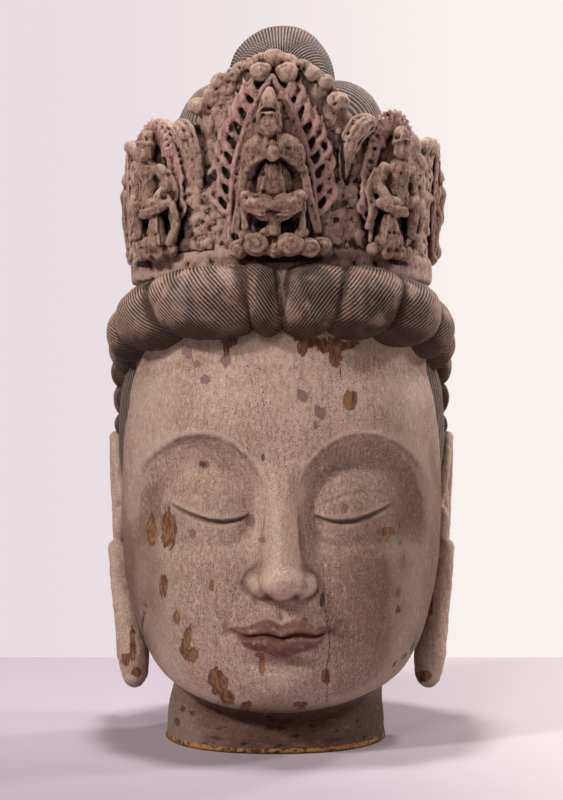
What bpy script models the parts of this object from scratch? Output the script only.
"""Carved wooden head of a bodhisattva in a high crown, made as one solid.

Metres, +Z up. The face looks along -Y and the head's own left ear is at +X. The origin is on the
flat underside of the neck, on the head's middle plane.
"""

import math

import bmesh
import bpy
import numpy as np
from mathutils import Matrix, Vector

# Neck and head
NECK_HALF_WIDTH = 0.0935
NECK_HALF_DEPTH = 0.096
NECK_SHIFT_X = -0.005
NECK_HEIGHT = 0.032
CHIN_Z = 0.035
FACE_HEIGHT = 0.300
HEAD_HALF_WIDTH = 0.1375
HEAD_HALF_DEPTH = 0.135
PLAN_POWER = 2.25

# Hair: the twisted roll over the forehead, and the topknot
ROPE_RADIUS = 0.0305
ROPE_END_RADIUS = 0.0150
ROPE_LOBE_SPACING = 0.054
ROPE_STEEPNESS = 0.56
ROPE_CREASE = 0.30
# How far each crease lies along the roll from the parting, in lobe spacings, left and right
ROPE_CREASES = {
    -1: (0.25, 0.69, 2.02, 3.05, 3.70, 4.25, 4.75, 5.20, 5.60),
    1: (0.25, 1.00, 1.80, 2.72, 3.50, 4.15, 4.70, 5.20, 5.60),
}
KNOT_RISE = 0.225
KNOT_RADIUS = 0.0475
LOBE_RADIUS = 0.046

# Ears
EAR_LENGTH = 0.224
EAR_STAND = 0.0055
LOBE_SINK = 0.0105

# Crown
CROWN_RADIUS = 0.126
CROWN_FLARE = 0.06
CROWN_HEIGHT = 0.173
CROWN_WALL = 0.012
CROWN_TURN = math.radians(-4.0)
CROWN_HALF_SPAN = math.radians(122.0)
BAND_HEIGHT = 0.016
BAND_PROUD = 0.0035
SIDE_PANEL_ANGLE = math.radians(45.5)
REAR_PANEL_ANGLE = math.radians(93.0)
MAIN_FIGURE_HEIGHT = 0.1366
SIDE_FIGURE_HEIGHT = 0.108
REAR_FIGURE_HEIGHT = 0.094
MAIN_ARCH_HALF_WIDTH = 0.033
SIDE_ARCH_HALF_WIDTH = 0.0165

# What follows from these sizes
HAIRLINE_Z = CHIN_Z + FACE_HEIGHT
ROPE_FRONT_Z = HAIRLINE_Z + 1.065 * ROPE_RADIUS
CROWN_FOOT_Z = ROPE_FRONT_Z + 0.80 * ROPE_RADIUS
KNOT_TOP_Z = CROWN_FOOT_Z + KNOT_RISE
EAR_TOP_Z = CHIN_Z + 0.757 * FACE_HEIGHT

# Making
VOXEL = 0.0023
TRIANGLES = 9400
SINK = 0.010


def smooth_step(low, high, value):
    """0 below low, 1 above high, smooth between. It runs the other way where low is over high."""
    share = np.clip((value - low) / (high - low), 0.0, 1.0)
    return share * share * (3.0 - 2.0 * share)


def bell(*shares):
    """A bell of height 1 that falls off with the sum of the squares of the shares."""
    return np.exp(-sum(share * share for share in shares))


def smooth_max(first, second, soft):
    """The higher of two heights, with the edge between them rounded."""
    gap = np.maximum(soft - np.abs(first - second), 0.0)
    return np.maximum(first, second) + gap * gap / (4.0 * soft)


def ball_height(base, rise, *shares):
    """Height of a ball that stands rise over its base, falling away steeply outside its outline."""
    inside = 1.0 - sum(share * share for share in shares)
    return base + rise * np.where(inside > 0, np.sqrt(np.maximum(inside, 0.0)), 2.0 * inside)


def clear_scene():
    for old in list(bpy.data.objects):
        bpy.data.objects.remove(old, do_unlink=True)


def new_collection(name, hidden=False):
    collection = bpy.data.collections.new(name)
    collection.hide_render = hidden
    bpy.context.scene.collection.children.link(collection)
    return collection


def object_from(name, mesh, collection):
    obj = bpy.data.objects.new(name, mesh)
    collection.objects.link(obj)
    return obj


def points_of(mesh):
    points = np.empty(len(mesh.vertices) * 3, np.float32)
    mesh.vertices.foreach_get("co", points)
    return points.reshape(-1, 3).astype(float)


def move_points(mesh, points):
    mesh.vertices.foreach_set("co", points.astype(np.float32).ravel())
    mesh.update()


def evaluated_mesh(obj):
    """The object's mesh with its modifiers applied, as a new mesh in the object's own space."""
    graph = bpy.context.evaluated_depsgraph_get()
    return bpy.data.meshes.new_from_object(obj.evaluated_get(graph))


def unit_ball(name, around, rings):
    bm = bmesh.new()
    bmesh.ops.create_uvsphere(bm, u_segments=around, v_segments=rings, radius=1.0)
    mesh = bpy.data.meshes.new(name)
    bm.to_mesh(mesh)
    bm.free()
    return mesh


# Head and neck


def head_stations():
    """Rings from the underside to the crown of the skull.

    Each is the reach to the front, side and back, then the height there at the front, side and back.
    """
    wide, deep = HEAD_HALF_WIDTH, HEAD_HALF_DEPTH
    neck_wide, neck_deep = NECK_HALF_WIDTH, NECK_HALF_DEPTH

    def up(share):
        return CHIN_Z + share * FACE_HEIGHT

    return np.array(
        [
            (0.0, 0.0, 0.0, -SINK, -SINK, -SINK),
            (0.90 * neck_deep, 0.92 * neck_wide, 0.90 * neck_deep, -SINK, -SINK, -SINK),
            (1.00 * neck_deep, 1.00 * neck_wide, 1.00 * neck_deep, *3 * [0.36 * NECK_HEIGHT]),
            (0.94 * neck_deep, 0.97 * neck_wide, 0.94 * neck_deep, NECK_HEIGHT, up(0.06), up(0.15)),
            (0.80 * deep, 0.79 * wide, 0.76 * deep, up(0.005), up(0.10), up(0.22)),
            (0.895 * deep, 0.895 * wide, 0.88 * deep, up(0.07), up(0.20), up(0.32)),
            (0.93 * deep, 0.965 * wide, 0.97 * deep, up(0.20), up(0.33), up(0.45)),
            (0.955 * deep, 1.0 * wide, 1.02 * deep, up(0.37), up(0.48), up(0.57)),
            (0.975 * deep, 1.0 * wide, 1.03 * deep, up(0.55), up(0.63), up(0.69)),
            (0.985 * deep, 0.985 * wide, 1.02 * deep, up(0.73), up(0.78), up(0.81)),
            (0.955 * deep, 0.93 * wide, 0.97 * deep, up(0.91), up(0.92), up(0.94)),
            (0.82 * deep, 0.80 * wide, 0.84 * deep, up(1.08), up(1.08), up(1.08)),
            (0.0, 0.0, 0.0, up(1.20), up(1.20), up(1.20)),
        ]
    )


def along(rows, share):
    """Catmull-Rom through the rows, at shares from 0 to 1."""
    place = np.clip(share, 0.0, 1.0) * (len(rows) - 1)
    first = np.minimum(place.astype(int), len(rows) - 2)
    t = (place - first)[:, None]
    padded = np.vstack([2 * rows[0] - rows[1], rows, 2 * rows[-1] - rows[-2]])
    a, b, c, d = (padded[first + offset] for offset in range(4))
    return b + 0.5 * t * (c - a + t * (2 * a - 5 * b + 4 * c - d + t * (3 * b - a - 3 * c + d)))


def line_distance(x, z, line):
    """Distance to a line through the points, positive on its right-hand side, and the share along it."""
    line = along(np.array(line, float), np.linspace(0.0, 1.0, 8 * len(line)))
    best = np.full(x.shape, 1e9)
    signed, share = np.zeros(x.shape), np.zeros(x.shape)
    for index, (start, end) in enumerate(zip(line[:-1], line[1:])):
        way = end - start
        t = np.clip(((x - start[0]) * way[0] + (z - start[1]) * way[1]) / way.dot(way), 0.0, 1.0)
        dx, dz = x - start[0] - t * way[0], z - start[1] - t * way[1]
        far = np.hypot(dx, dz)
        near = far < best
        best = np.where(near, far, best)
        signed = np.where(near, far * np.sign(way[1] * dx - way[0] * dz + 1e-12), signed)
        share = np.where(near, (index + t) / (len(line) - 1), share)
    return signed, share


def head_points(around, share, relief):
    """Points of the head and neck: around is the angle from the front, share runs from foot to top."""
    front, side, back, z_front, z_side, z_back = along(head_stations(), share).T
    sine, cosine = np.sin(around), np.cos(around)
    power = 2.0 / PLAN_POWER
    ahead = cosine > 0
    x = side * np.sign(sine) * np.abs(sine) ** power
    y = -np.where(ahead, front, back) * np.sign(cosine) * np.abs(cosine) ** power
    z = z_side + (np.where(ahead, z_front, z_back) - z_side) * cosine**2
    x = x + NECK_SHIFT_X * smooth_step(CHIN_Z + 0.10 * FACE_HEIGHT, CHIN_Z - 0.03 * FACE_HEIGHT, z)
    unit = FACE_HEIGHT / 300.0
    height = unit * read_field(relief, np.abs(x) / unit, (z - CHIN_Z) / unit)
    y = y - height * smooth_step(0.10, 0.45, cosine) * (z > CHIN_Z - 0.07 * FACE_HEIGHT)
    return np.column_stack([x, y, z])


# The face is a general one on the canon of three equal parts in height and five eye widths across.
# Its heights are in 300ths of the face: chin 0, foot of the nose 100, brow 200, hairline 300.
NOSE, MOUTH = 100.0, 66.0
BROW_LINE = [
    (8.5, 150), (9.5, 168), (13.5, 185), (22, 202), (36, 216), (54, 224.5), (74, 225), (93, 217.5),
    (108, 205), (119, 190),
]
SLIT_LINE = np.array(
    [(26, 162.0), (34, 159.0), (46, 157.2), (58, 158.2), (70, 161.5), (80, 165.5), (90, 170.0)]
)
FIELD_STEP = 0.5


def face_field():
    """The face's relief over a grid of one half: side 0 to 140, up -25 to 310."""
    side, up = np.meshgrid(np.arange(0, 140.1, FIELD_STEP), np.arange(-25, 310.1, FIELD_STEP))

    # Eye hollows under one line that runs from the brow into the side of the nose
    inside, _ = line_distance(side, up, BROW_LINE)
    open_below = smooth_step(126.0, 160.0, up) * smooth_step(130.0, 104.0, side)
    depth = 6.5 * (1.0 - np.exp(-np.maximum(inside, 0.0) / 3.5)) + 4.5 * smooth_step(2.0, 20.0, inside)
    relief = -depth * open_below * (inside > 0)
    relief += 1.3 * bell(inside / 3.2) * smooth_step(124.0, 108.0, side) * smooth_step(165.0, 190.0, up)
    relief -= 2.2 * bell((side - 22.0) / 9.0, (up - 170.0) / 15.0)

    # Eyes under full lids, almost closed
    up_share = np.where(up > 163.0, (up - 163.0) / 38.0, (163.0 - up) / 27.0)
    mound = np.clip(1.0 - ((side - 58.0) / 43.0) ** 2 - up_share**2, 0.0, 1.0)
    relief += 12.0 * mound**1.15
    slit = np.interp(side, SLIT_LINE[:, 0], SLIT_LINE[:, 1])
    wide = np.sqrt(np.clip(1.0 - ((side - 58.0) / 32.5) ** 2, 0.0, 1.0))
    over = up - slit
    gap = 3.6 * wide
    relief += 2.0 * wide**0.5 * np.exp(-np.maximum(over, 0.0) / 6.0) * (over > 0)
    relief -= 3.0 * wide**0.5 * (over <= 0) * (over > -gap)
    relief += (0.9 * np.exp(-np.maximum(-gap - over, 0.0) / 5.0) - 0.7) * wide * (over <= -gap)
    fold = slit + 4.0 + 16.0 * wide**2
    relief -= 1.0 * bell((up - fold) / 1.5) * smooth_step(0.15, 0.6, wide)
    relief -= 0.8 * bell((up - slit + 7.0 + 11.0 * wide) / 3.5) * wide

    # Nose: a ridge, a round tip, two wings and a flat underside
    levels = [84.0, 92.0, 98.0, 104.0, 112.0, 122.0, 140.0, 160.0, 180.0, 196.0, 214.0]
    rise = np.interp(up, levels, [-30, -14, 7, 21.0, 27.0, 25.5, 20.5, 15.0, 9.5, 5.0, -6.0])
    half = np.interp(up, [100.0, 114.0, 135.0, 165.0, 190.0, 212.0], [17.0, 18.0, 15.5, 12.0, 13.0, 24.0])
    ridge = np.where(rise > 0, rise * np.clip(1.0 - (side / half) ** 2.2, 0.0, 1.0), rise)
    ridge -= 12.0 * np.maximum(side / half - 1.0, 0.0)
    tip = ball_height(10.0, 20.5, side / 17.0, (up - NOSE - 11.0) / 14.5)
    wing = ball_height(-1.0, 15.0, (side - 16.5) / 12.0, (up - NOSE - 7.0) / 10.5)
    relief = smooth_max(relief, ridge, 5.0)
    relief = smooth_max(relief, wing, 3.5)
    relief = smooth_max(relief, tip, 7.0)
    relief -= 8.0 * bell((side - 10.5) / 4.6, (up - NOSE + 1.5) / 2.6)
    ring = np.hypot((side - 16.5) / 12.0, (up - NOSE - 7.5) / 10.5) - 1.12
    relief -= 1.2 * bell(ring / 0.14) * smooth_step(17.0, 22.0, side)

    # Mouth, with a bowed upper lip and a full lower one
    relief += 8.5 * bell(side / 47.0, (up - MOUTH + 1.0) / 33.0)
    line = MOUTH - 1.6 * bell(side / 6.5) + 1.2 * bell((side - 14.0) / 8.0) - 0.8 * bell((side - 27.0) / 8.0)
    line += 3.6 * smooth_step(26.0, 43.0, side)
    wide = np.sqrt(np.clip(1.0 - (side / 41.0) ** 2, 0.0, 1.0))
    top = line + 1.2 + (11.5 - 2.4 * bell(side / 4.5)) * wide * (1.0 - 0.25 * smooth_step(8.0, 38.0, side))
    bottom = line - 1.0 - 15.0 * np.clip(1.0 - (side / 36.0) ** 2, 0.0, 1.0) ** 0.75
    over = np.clip((up - line) / np.maximum(top - line, 0.1), 0.0, 1.0)
    under = np.clip((line - up) / np.maximum(line - bottom, 0.1), 0.0, 1.0)
    relief += 5.6 * np.sin(np.pi * over**0.62) * (up > line) * wide
    relief += 8.0 * np.sin(np.pi * under**0.66) * (up <= line) * wide
    relief += 0.9 * bell((up - top) / 1.6) * wide
    relief -= 3.2 * bell((up - line) / 1.5) * smooth_step(46.0, 38.0, side)
    relief -= 3.0 * bell((side - 44.0) / 6.5, (up - line) / 7.5)
    groove = smooth_step(MOUTH + 10.0, MOUTH + 15.0, up) * smooth_step(95.0, 90.0, up)
    relief -= 2.2 * bell(side / 4.2) * groove

    # Chin and cheeks
    relief += 8.5 * bell(side / 27.0, (up - 24.0) / 18.0)
    relief -= 4.5 * bell(side / 27.0, (up - MOUTH + 21.0) / 6.0)
    relief += 4.5 * bell((side - 68.0) / 36.0, (up - NOSE + 2.0) / 46.0)
    crease, _ = line_distance(side, up, [(29, 104), (38, 92), (46, 78)])
    relief -= 1.6 * bell(crease / 6.0)
    return blurred(relief)


def blurred(field):
    """The field softened by one or two steps of the grid, with the left edge mirrored."""
    kernel = np.array([0.06, 0.24, 0.40, 0.24, 0.06])
    padded = np.pad(field, ((2, 2), (2, 2)), mode="edge")
    padded[:, 0], padded[:, 1] = padded[:, 4], padded[:, 3]
    rows = sum(weight * padded[:, shift : shift + field.shape[1]] for shift, weight in enumerate(kernel))
    return sum(weight * rows[shift : shift + field.shape[0]] for shift, weight in enumerate(kernel))


def read_field(field, side, up):
    column = np.clip(side / FIELD_STEP, 0, field.shape[1] - 1.001)
    row = np.clip((up + 25.0) / FIELD_STEP, 0, field.shape[0] - 1.001)
    i, j = row.astype(int), column.astype(int)
    t, s = row - i, column - j
    low = field[i, j] * (1 - s) + field[i, j + 1] * s
    high = field[i + 1, j] * (1 - s) + field[i + 1, j + 1] * s
    return low * (1 - t) + high * t


def head_and_neck(collection):
    mesh = unit_ball("head_and_neck", 180, 200)
    unit = points_of(mesh)
    around = np.arctan2(unit[:, 0], -unit[:, 1])
    share = np.arccos(np.clip(-unit[:, 2], -1.0, 1.0)) / math.pi
    move_points(mesh, head_points(around, share, face_field()))
    return object_from("head_and_neck", mesh, collection)


# Shapes that the carving is built from


class Forms:
    """Balls and tubes that are fused into the solid later, in world space or a crown's flat space."""

    def __init__(self):
        self.balls = []
        self.tubes = []

    def ball(self, centre, radii, turn=None):
        if np.isscalar(radii):
            radii = (radii,) * 3
        self.balls.append((Vector(centre), Vector(radii), turn or Matrix.Identity(3)))

    def tube(self, points, radii):
        if np.isscalar(radii):
            radii = [radii] * len(points)
        self.tubes.append((points, radii))

    def objects(self, name, collection):
        made = []
        if self.balls:
            made.append(object_from(name + "_balls", balls_mesh(self.balls), collection))
        if self.tubes:
            made.append(tubes_object(name + "_tubes", self.tubes, collection))
        return made


def balls_mesh(balls):
    ball = unit_ball("ball", 20, 12)
    bm = bmesh.new()
    for centre, radii, turn in balls:
        copy = ball.copy()
        copy.transform(Matrix.Translation(centre) @ turn.to_4x4() @ Matrix.Diagonal(radii).to_4x4())
        bm.from_mesh(copy)
        bpy.data.meshes.remove(copy)
    mesh = bpy.data.meshes.new("balls")
    bm.to_mesh(mesh)
    bm.free()
    return mesh


def tubes_object(name, tubes, collection):
    """One curve of many round, tapered splines with ball ends, made into a mesh."""
    curve = bpy.data.curves.new(name, "CURVE")
    curve.dimensions = "3D"
    curve.bevel_depth = 1.0
    curve.bevel_resolution = 3
    curve.use_fill_caps = True
    for points, radii in tubes:
        line = smooth_line(points, radii)
        spline = curve.splines.new("POLY")
        spline.points.add(len(line) - 1)
        for place, (x, y, z, radius) in zip(spline.points, line):
            place.co = (x, y, z, 1.0)
            place.radius = radius
    guide = object_from(name + "_guide", curve, collection)
    mesh = evaluated_mesh(guide)
    bpy.data.objects.remove(guide)
    return object_from(name, mesh, collection)


def smooth_line(points, radii, steps=4):
    """The points and radii on a smooth curve, with the ends rounded off."""
    rows = np.column_stack([np.array(points, float), np.array(radii, float)])
    line = along(rows, np.linspace(0.0, 1.0, (len(rows) - 1) * steps + 1))
    line[:, 3] = np.maximum(line[:, 3], 0.1 * VOXEL)
    for end, inside in ((0, 1), (-1, -2)):
        way = line[end, :3] - line[inside, :3]
        way /= max(np.linalg.norm(way), 1e-9)
        radius = line[end, 3]
        caps = [(0.5, 0.87), (0.85, 0.53), (1.0, 0.08)]
        extra = [np.append(line[end, :3] + way * radius * out, radius * wide) for out, wide in caps]
        line = np.vstack([extra[::-1], line]) if end == 0 else np.vstack([line, extra])
    return line


def grid_object(name, columns, rows, place, thickness, collection):
    """A sheet of columns by rows squares, set out by place(across, up) and thickened inwards."""
    bm = bmesh.new()
    bmesh.ops.create_grid(bm, x_segments=columns, y_segments=rows, size=0.5)
    mesh = bpy.data.meshes.new(name)
    bm.to_mesh(mesh)
    bm.free()
    flat = points_of(mesh)
    move_points(mesh, place(flat[:, 0] + 0.5, flat[:, 1] + 0.5))
    sheet = object_from(name + "_sheet", mesh, collection)
    solidify = sheet.modifiers.new("thickness", "SOLIDIFY")
    solidify.thickness = thickness
    solidify.offset = -1.0
    made = evaluated_mesh(sheet)
    bpy.data.objects.remove(sheet)
    return object_from(name, made, collection)


# Hair


def rope_path(side):
    """The middle of the hair roll, from the parting round to the ear, on one side (-1 or 1). Each row
    is a share of the head's half width and half depth, and of the way down to the ear."""
    rows = np.array(
        [
            (-0.08, -0.93, 0.000), (0.36, -0.91, 0.008), (0.68, -0.715, 0.060), (0.875, -0.36, 0.170),
            (0.93, 0.02, 0.360), (0.955, 0.14, 0.660), (0.965, 0.16, 1.000),
        ]
    )
    drop = ROPE_FRONT_Z - EAR_TOP_Z + 0.056 * EAR_LENGTH
    return rows * (side * HEAD_HALF_WIDTH, HEAD_HALF_DEPTH, -drop) + (0.0, 0.0, ROPE_FRONT_Z)


def rope_radius(share):
    return ROPE_RADIUS + (ROPE_END_RADIUS - ROPE_RADIUS) * smooth_step(0.25, 1.0, share)


def rope_phase(side, path, around, share):
    """How far the lock has turned: a crease lies wherever its cosine is nought. The creases are
    steeper on the outside of the roll than behind it."""
    fine = np.linspace(0.0, 1.0, 200)
    steps = np.linalg.norm(np.diff(along(path, fine), axis=0), axis=1)
    length = np.interp(share, fine, np.concatenate([[0.0], np.cumsum(steps)])) / ROPE_LOBE_SPACING
    places = ROPE_CREASES[side]
    places = (places[0] - 1.0, *places, places[-1] + 0.5)
    turns = np.interp(length, places, np.arange(len(places)) - 0.5)
    return 0.5 * (around - ROPE_STEEPNESS * np.sin(around)) - math.pi * turns


def rope_swell(around, phase):
    """The share of the radius that is left in the creases, which are shallow on top of the roll."""
    depth = ROPE_CREASE * (1.0 - 0.65 * np.clip(np.sin(around), 0.0, 1.0))
    return 1.0 - depth * (1.0 - np.abs(np.cos(phase)) ** 0.65)


def rope_points(side, around, share):
    """Points of one half of the roll. It is one twisted lock, which swells between slanting creases."""
    path = rope_path(side)
    centre = along(path, share)
    ahead, behind = along(path, np.minimum(share + 0.01, 1.0)), along(path, np.maximum(share - 0.01, 0.0))
    tangent = ahead - behind
    tangent /= np.linalg.norm(tangent, axis=1)[:, None]
    outward = centre * (1.0, 1.0, 0.0)
    outward -= np.sum(outward * tangent, axis=1)[:, None] * tangent
    outward /= np.linalg.norm(outward, axis=1)[:, None]
    up = side * np.cross(outward, tangent)
    swell = rope_swell(around, rope_phase(side, path, around, share))
    ends = np.sqrt(np.clip(1.0 - np.abs(2.0 * share - 1.0) ** 24, 0.0, 1.0))
    reach = (rope_radius(share) * swell * ends)[:, None]
    return centre + reach * (np.cos(around)[:, None] * outward + np.sin(around)[:, None] * up)


def rope(side, collection):
    mesh = unit_ball(f"rope_{side + 1}", 40, 150)
    unit = points_of(mesh)
    around = np.arctan2(unit[:, 1], unit[:, 0])
    share = np.arccos(np.clip(-unit[:, 2], -1.0, 1.0)) / math.pi
    move_points(mesh, rope_points(side, around, share))
    if side > 0:
        mesh.flip_normals()
    return object_from(mesh.name, mesh, collection)


def hair(forms):
    wide, deep, knot = HEAD_HALF_WIDTH, HEAD_HALF_DEPTH, KNOT_RADIUS
    # Combed hair over the skull and the nape, from the band down to the height of the mouth
    nape_z = CHIN_Z + 0.14 * FACE_HEIGHT
    top_z = CROWN_FOOT_Z + 0.18 * FACE_HEIGHT
    middle, half = 0.5 * (nape_z + top_z), 0.5 * (top_z - nape_z)
    forms.ball((0, 0.10 * deep, middle), (1.035 * wide, 1.01 * deep, half))
    forms.ball((0, 0.08 * deep, CROWN_FOOT_Z), (0.80 * wide, 0.84 * deep, 0.30 * FACE_HEIGHT))
    # The topknot: a stem, two side lobes and a tall middle bun
    bun_z = KNOT_TOP_Z - 1.02 * knot
    middle, half = 0.5 * (bun_z + CROWN_FOOT_Z), 0.5 * (bun_z - CROWN_FOOT_Z)
    forms.ball((0, 0.12 * deep, middle), (1.50 * knot, 1.46 * knot, 0.92 * half))
    for side in (-1, 1):
        lobe = (LOBE_RADIUS, 1.1 * LOBE_RADIUS, 1.15 * LOBE_RADIUS)
        forms.ball((side * knot, 0.13 * deep, bun_z - 1.10 * knot), lobe)
    forms.ball((0, 0.13 * deep, bun_z), (knot, 1.2 * knot, 1.02 * knot))


# Ears


def ear(forms, side):
    """A long ear, carved in shares of its length: rim, inner fold, hollow and a heavy hanging lobe."""
    long = EAR_LENGTH
    stand = HEAD_HALF_WIDTH + EAR_STAND
    lean = HEAD_HALF_WIDTH - LOBE_SINK - stand

    def at(y, down, out=0.0):
        reach = stand + lean * smooth_step(0.45, 1.0, down) + out * long
        return (side * reach, y * long, EAR_TOP_Z - down * long)

    def size(*shares):
        return [share * long for share in shares]

    rim = [
        at(0.018, 0.26, -0.018), at(0.036, 0.12), at(0.098, 0.035, 0.013), at(0.188, 0.05, 0.022),
        at(0.246, 0.16, 0.027), at(0.246, 0.30, 0.022), at(0.205, 0.44, 0.013), at(0.152, 0.56, 0.004),
    ]
    forms.tube(rim, size(0.022, 0.027, 0.029, 0.029, 0.029, 0.027, 0.027, 0.029))
    fold = [at(0.107, 0.13), at(0.170, 0.20, 0.009), at(0.170, 0.32, 0.009), at(0.125, 0.43)]
    forms.tube(fold, 0.0223 * long)
    forms.ball(at(0.125, 0.28, -0.045), size(0.049, 0.134, 0.250))
    forms.ball(at(0.018, 0.36, -0.009), size(0.036, 0.040, 0.076))
    lobe = [at(0.089, 0.46), at(0.080, 0.60), at(0.054, 0.74), at(0.027, 0.86), at(0.018, 0.945)]
    for shift in (-0.041, 0.041):
        shifted = [(x, y + shift * long, z) for x, y, z in lobe]
        forms.tube(shifted, size(0.045, 0.047, 0.056, 0.067, 0.054))


# Crown, first in a flat space: x runs round the crown, -y out of the wall, z up


def wrap(points):
    """Bends the flat space round the head."""
    x, y, z = points.T
    around = x / CROWN_RADIUS + CROWN_TURN
    reach = CROWN_RADIUS + CROWN_FLARE * (z - CROWN_FOOT_Z) - y
    return np.column_stack([reach * np.sin(around), -reach * np.cos(around), z])


def wrapped(obj):
    move_points(obj.data, wrap(points_of(obj.data)))
    return obj


# The crown's top edge, in thousandths of the crown's height: distance round from the middle, and
# height above the foot
CROWN_EDGE = np.array(
    [
        (-1570, 450), (-1445, 580), (-1185, 670), (-1010, 670), (-840, 625), (-720, 690), (-580, 745),
        (-460, 670), (-345, 695), (-275, 785), (-208, 895), (-104, 940), (23, 1000), (133, 948), (231, 919),
        (312, 827), (370, 680), (485, 680), (607, 763), (750, 694), (840, 647), (1010, 680), (1185, 670),
        (1445, 580), (1570, 450),
    ]
)


def across(x):
    """A distance round the crown, given in millimetres on a crown of the usual radius."""
    return x * CROWN_RADIUS / 126.0


def above(z):
    """A height over the crown's foot, given in millimetres on a crown of the usual height."""
    return CROWN_FOOT_Z + z * CROWN_HEIGHT / 173.0


def crown_wall(collection):
    half = CROWN_HALF_SPAN * CROWN_RADIUS

    def place(share, up):
        x = half * (2.0 * share - 1.0)
        top = np.interp(x, across(0.173 * CROWN_EDGE[:, 0]), above(0.173 * CROWN_EDGE[:, 1]))
        return wrap(np.column_stack([x, np.zeros_like(x), CROWN_FOOT_Z + up * (top - CROWN_FOOT_Z)]))

    return grid_object("crown_wall", 120, 24, place, CROWN_WALL, collection)


def crown_band(collection):
    """The plain band at the crown's foot, which goes right round the head."""
    turn = 2.0 * math.pi * CROWN_RADIUS

    def place(share, up):
        z = CROWN_FOOT_Z + BAND_HEIGHT * (1.25 * up - 0.25)
        return wrap(np.column_stack([turn * share, np.full_like(z, -BAND_PROUD), z]))

    return grid_object("crown_band", 120, 2, place, CROWN_WALL + BAND_PROUD, collection)


def arch_half_width(z, foot, top, half, power):
    share = np.clip((z - foot) / (top - foot), 0.0, 1.0)
    return half * (1.0 - share**power)


def arch_plate(name, middle, foot, top, half, power, proud, collection):
    """A plate in the shape of an arch, pointed where power is small."""

    def place(share, up):
        z = foot + up * (top - foot)
        x = middle + (2.0 * share - 1.0) * arch_half_width(z, foot, top, half, power)
        return wrap(np.column_stack([x, np.full_like(x, -proud), z]))

    return grid_object(name, 12, 24, place, proud + 0.4 * CROWN_WALL, collection)


def arch_rim(forms, middle, foot, top, half, power, proud, radius):
    heights = foot + (top - foot) * (1.0 - np.linspace(1.0, 0.0, 9) ** 1.6)
    for side in (-1, 1):
        line = [
            (middle + side * arch_half_width(z, foot, top, half, power), -proud, z) for z in heights
        ]
        forms.tube(line, radius)


def flames(forms, middle, foot, top, half, power, sides, count, length, proud, thick):
    """Tongues of flame that leave the arch's edge outwards and curl up."""
    for side in sides:
        for index in range(count):
            share = (index + 0.3) / count
            z = foot + (top - foot) * share
            x = arch_half_width(z, foot, top, half, power)
            long = length * (1.0 - 0.40 * share)
            rise = math.radians(15.0 + 60.0 * share)
            out, up = math.cos(rise), math.sin(rise)
            line = [
                (middle + side * (x - thick), -proud, z),
                (middle + side * (x + 0.45 * long * out), -proud, z + (0.30 * up - 0.05) * long),
                (middle + side * (x + 0.85 * long * out), -proud - 0.3 * thick, z + (0.60 * up + 0.10) * long),
                (middle + side * (x + 0.90 * long * out), -proud, z + (0.95 * up + 0.30) * long),
            ]
            forms.tube(line, [1.0 * thick, 1.25 * thick, 0.95 * thick, 0.45 * thick])


def robed_figure(forms, middle, foot, tall):
    """The crown's main figure, in hundredths of its own height: seated, with covered hands."""
    unit = tall / 100.0

    def at(x, out, up):
        return (middle + x * unit, -out * unit, foot + up * unit)

    def size(*shares):
        return [share * unit for share in shares]

    # Throne of curled clouds
    for x, out, up, radius in (
        (-20.5, 8.5, 5.5, 5.0), (-11.5, 11.0, 7.5, 6.5), (-2.5, 12.0, 5.5, 5.6), (3.0, 9.5, 11.0, 5.2),
        (10.0, 12.0, 7.5, 6.2), (17.5, 11.0, 6.5, 5.6), (24.5, 9.0, 9.0, 5.0), (31.0, 7.0, 8.0, 4.6),
    ):
        forms.ball(at(x, out, up), size(radius, 0.95 * radius, radius))
    forms.ball(at(3, 5.5, 11.0), size(24.0, 8.0, 6.0))
    # Lap, knees and the hanging sleeves that frame them
    for side in (-1, 1):
        forms.ball(at(8.3 * side, 12.5, 28.8), size(8.4, 9.0, 7.4))
        forms.ball(at(14.2 * side, 14.0, 34.0), 4.8 * unit)
        spread = 17.5 if side < 0 else 22.0
        sleeve = [at(14.5 * side, 9.0, 53), at(0.93 * spread * side, 8.0, 36), at(spread * side, 6.5, 14)]
        forms.tube(sleeve, size(3.4, 2.7, 2.9))
        shoulder = [at(0, 12.5, 66), at(7.5 * side, 12.5, 63)]
        shoulder += [at(13.0 * side, 11.5, 57), at(15.0 * side, 10.5, 50)]
        forms.tube(shoulder, size(5.0, 6.0, 5.2, 3.4))
    forms.tube([at(0, 7.0, 32), at(0, 8.0, 45), at(0, 8.5, 58)], size(9.5, 7.8, 7.0))
    forms.ball(at(0, 12.5, 62.5), size(11.0, 8.0, 6.4))
    forms.ball(at(0, 17.5, 60.5), size(2.8, 3.0, 3.6))
    # Neck, head and pointed topknot
    forms.tube([at(0, 13.0, 67), at(0, 14.0, 74)], 3.8 * unit)
    forms.ball(at(-0.8, 15.6, 79.0), size(6.6, 7.4, 9.6))
    forms.tube([at(-0.8, 14.5, 86.0), at(-0.8, 14.0, 92.0), at(-0.8, 13.0, 97.0)], size(6.2, 4.8, 2.0))


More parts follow.
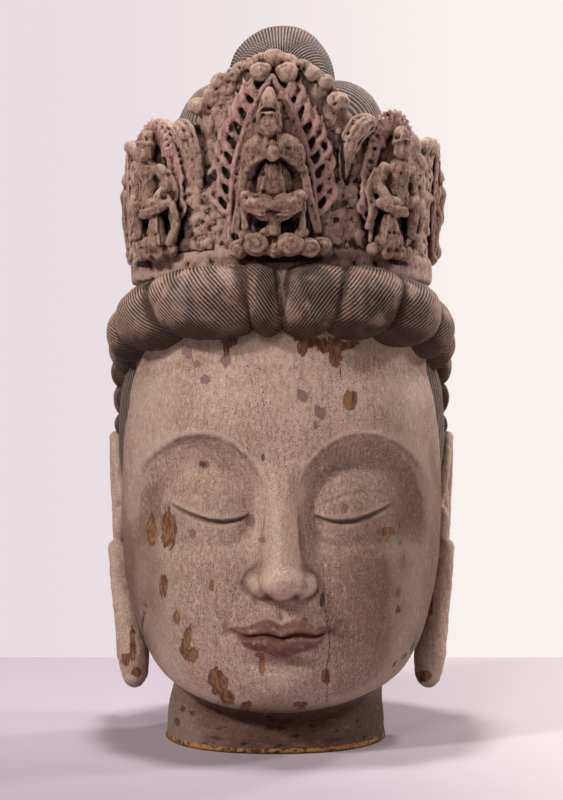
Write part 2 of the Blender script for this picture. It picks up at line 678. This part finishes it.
def easy_figure(forms, middle, foot, tall, knee, depth):
    """A side figure, in hundredths of its own height. Its lower knee is on the side of knee."""
    unit = tall / 100.0

    def at(x, out, up):
        return (middle + x * knee * unit, -out * unit * depth, foot + up * unit)

    def size(*shares):
        return [share * unit for share in shares]

    for x, out, up, radius in (
        (-14.5, 8.0, 7.5, 6.2), (-5.0, 11.5, 6.0, 6.8), (4.5, 12.0, 7.0, 6.4),
        (13.0, 10.0, 6.5, 6.4), (-6.0, 9.0, 15.5, 6.5),
    ):
        forms.ball(at(x, out, up), size(radius, radius * depth, 0.9 * radius))
    # A cone of draped cloth under the lap, a bent leg and a hanging leg with its foot
    forms.tube([at(-8.0, 10.0, 30), at(-7.0, 11.0, 21), at(-6.0, 11.0, 13)], size(4.5, 7.0, 9.5))
    forms.tube([at(1, 10.5, 42), at(-9, 15.0, 41), at(-15, 14.0, 42)], size(7.2, 6.8, 5.2))
    forms.tube([at(-14, 14.0, 41), at(-4, 16.0, 36), at(2, 15.0, 35)], size(4.6, 4.6, 3.6))
    leg = [at(3, 10.5, 42), at(12, 14.5, 42), at(13.5, 13.0, 30), at(13, 13.0, 20)]
    forms.tube(leg, size(7.0, 5.8, 4.4, 3.8))
    forms.ball(at(13.5, 16.0, 18.5), size(3.8, 5.5 * depth, 3.2))
    # Trunk, arms and a scarf that falls at one side
    forms.tube([at(0, 9.5, 44), at(0, 9.0, 57), at(0, 9.0, 68)], size(8.2, 6.4, 8.0))
    forms.ball(at(0, 9.5, 69.0), size(13.0, 6.0 * depth, 5.2))
    for side in (-1, 1):
        arm = [at(11.0 * side, 9.5, 68), at(15.5 * side, 8.5, 57), at(13.5 * side, 13.5, 47)]
        forms.tube(arm, size(4.2, 3.6, 3.0))
    forms.tube([at(-17.0, 6.0, 62), at(-19.5, 6.5, 45), at(-18.0, 7.0, 22)], size(2.4, 2.6, 2.6))
    # Neck, head and high hair
    forms.tube([at(0, 10.0, 70), at(0, 11.5, 78)], 3.6 * unit)
    forms.ball(at(0, 13.0, 82.5), size(6.6, 7.0 * depth, 8.6))
    forms.ball(at(0, 11.0, 93.0), size(6.0, 6.5 * depth, 6.4))


def clouds(forms, start, end, foot, top, radius):
    """Rows of low curled cloud heads between two distances round the crown."""
    start, end = sorted((start, end))
    rows = max(1, round((top - foot) / (1.7 * radius)))
    for row in range(rows):
        z = foot + (row + 0.5) * (top - foot) / rows
        count = max(1, round((end - start) / (1.9 * radius)))
        for column in range(count):
            x = start + (column + 0.5 + 0.2 * (-1) ** row) * (end - start) / count
            swell = 1.0 + 0.15 * math.sin(2.7 * row + 1.9 * column)
            forms.ball((x, 0.0, z), (radius * swell, 0.65 * radius * swell, 0.9 * radius * swell))


def leaf_and_ball(forms, side, unit):
    """A broad curled leaf and a ball between the tall middle of the crown and a side panel."""
    lean = 6 * side
    leaf = [
        (57, 2, 78), (58.5, 5, 96), (66 + side * lean, 7, 113), (75 + side * lean, 5, 123),
        (82 + side * lean, 3, 121),
    ]
    line = [(across(side * x), -out * unit, above(z)) for x, out, z in leaf]
    forms.tube(line, [4.0 * unit, 6.5 * unit, 8.5 * unit, 8.0 * unit, 5.0 * unit])
    forms.ball((across(side * 54), -3 * unit, above(131.5)), (7.8 * unit, 8 * unit, 8.8 * unit))


def crown_forms(collection):
    """Every raised form of the crown, as objects already bent round the head."""
    forms = Forms()
    plates = []
    unit = CROWN_HEIGHT / 173.0
    foot = CROWN_FOOT_Z + BAND_HEIGHT

    main = (across(2), above(20), above(152), MAIN_ARCH_HALF_WIDTH, 2.6)
    plates.append(arch_plate("main_halo", *main, 5.5 * unit, collection))
    fire = (main[0], above(42), above(148), 1.4 * MAIN_ARCH_HALF_WIDTH, 2.4)
    plates.append(arch_plate("main_fire", *fire, 2.8 * unit, collection))
    arch_rim(forms, *main, 6.5 * unit, 2.8 * unit)
    flames(forms, main[0], above(46), *main[2:], (-1, 1), 7, 26 * unit, 5 * unit, 3.3 * unit)
    robed_figure(forms, 0.0, above(10), MAIN_FIGURE_HEIGHT)

    for side in (-1, 1):
        middle = side * SIDE_PANEL_ANGLE * CROWN_RADIUS
        arch = (middle, foot + 8 * unit, above(126 + 3 * side), SIDE_ARCH_HALF_WIDTH, 4.5)
        plates.append(arch_plate(f"side_halo_{side + 1}", *arch, 4.5 * unit, collection))
        arch_rim(forms, *arch, 5 * unit, 2.2 * unit)
        flames(forms, middle, above(53), *arch[2:], (-side,), 6, 20 * unit, 4 * unit, 3.0 * unit)
        flames(forms, middle, above(53), *arch[2:], (side,), 6, 11 * unit, 3 * unit, 2.6 * unit)
        easy_figure(forms, middle, above(9), SIDE_FIGURE_HEIGHT, side, 1.0)

        middle = side * REAR_PANEL_ANGLE * CROWN_RADIUS
        arch = (middle, foot + 6 * unit, above(116), SIDE_ARCH_HALF_WIDTH, 4.0)
        plates.append(arch_plate(f"rear_halo_{side + 1}", *arch, 3 * unit, collection))
        arch_rim(forms, *arch, 3 * unit, 2.4 * unit)
        flames(forms, middle, above(48), *arch[2:], (-1, 1), 4, 13 * unit, 1 * unit, 3.0 * unit)
        easy_figure(forms, middle, above(12), REAR_FIGURE_HEIGHT, -side, 0.42)

        # Clouds between the panels, then the leaf, and the scrolls along the top
        gap = side * SIDE_PANEL_ANGLE * CROWN_RADIUS
        clouds(forms, across(38 * side), gap - across(24 * side), foot, above(70), 8.5 * unit)
        clouds(forms, gap + across(22 * side), gap + across(78 * side), foot, above(48), 8.5 * unit)
        clouds(forms, gap + across(130 * side), gap + across(160 * side), foot, above(78), 9.0 * unit)
        leaf_and_ball(forms, side, unit)
        for x, out, z, wide, high in (
            (4 + 9.8 * side, 5, 155.5, 7.6, 7.6), (2 + 24 * side, 2, 157, 12, 8.5),
            (38 * side, 1, 151, 11, 11), (48 * side, 0, 141, 9, 10),
        ):
            forms.ball((across(x), -out * unit, above(z)), (wide * unit, 7 * unit, high * unit))
    forms.ball((across(4), -1 * unit, above(167)), (16 * unit, 7 * unit, 12.5 * unit))

    return [wrapped(obj) for obj in forms.objects("carving", collection)] + plates


# The one solid


def fuse(objects, collection):
    """All the shapes as one closed surface, thinned to the number of triangles wanted."""
    bm = bmesh.new()
    for obj in objects:
        bm.from_mesh(obj.data)
        bpy.data.objects.remove(obj)
    mesh = bpy.data.meshes.new("shapes")
    bm.to_mesh(mesh)
    bm.free()
    shapes = object_from("shapes", mesh, collection)
    remesh = shapes.modifiers.new("one_surface", "REMESH")
    remesh.mode = "VOXEL"
    remesh.voxel_size = VOXEL
    whole = evaluated_mesh(shapes)
    bpy.data.objects.remove(shapes)
    whole.calc_loop_triangles()
    thin = object_from("thin", whole, collection)
    decimate = thin.modifiers.new("thinned", "DECIMATE")
    decimate.ratio = TRIANGLES / len(whole.loop_triangles)
    decimate.use_collapse_triangulate = True
    made = evaluated_mesh(thin)
    bpy.data.objects.remove(thin)
    return made


def cut_flat(obj, cutters):
    """Cuts the neck off level, so that the head stands on its underside."""
    bm = bmesh.new()
    bmesh.ops.create_cube(bm, size=1.0)
    bmesh.ops.translate(bm, verts=bm.verts, vec=(0.0, 0.0, -0.5))
    mesh = bpy.data.meshes.new("ground")
    bm.to_mesh(mesh)
    bm.free()
    ground = object_from("ground", mesh, cutters)
    ground.hide_render = True
    ground.display_type = "WIRE"
    cut = obj.modifiers.new("level_foot", "BOOLEAN")
    cut.operation = "DIFFERENCE"
    cut.object = ground


def weathered_wood():
    material = bpy.data.materials.new("painted_wood")
    material.use_nodes = True
    shader = material.node_tree.nodes["Principled BSDF"]
    shader.inputs["Base Color"].default_value = (0.36, 0.27, 0.21, 1.0)
    shader.inputs["Roughness"].default_value = 0.72
    shader.inputs["Metallic"].default_value = 0.0
    return material


def main():
    clear_scene()
    head = new_collection("bodhisattva_head")
    cutters = new_collection("cutters", hidden=True)
    shapes = [head_and_neck(head), rope(-1, head), rope(1, head)]
    world_forms = Forms()
    hair(world_forms)
    for side in (-1, 1):
        ear(world_forms, side)
    shapes += world_forms.objects("hair_and_ears", head)
    shapes += [crown_wall(head), crown_band(head)]
    shapes += crown_forms(head)
    solid = object_from("bodhisattva_head", fuse(shapes, head), head)
    solid.data.materials.clear()
    solid.data.materials.append(weathered_wood())
    cut_flat(solid, cutters)


main()
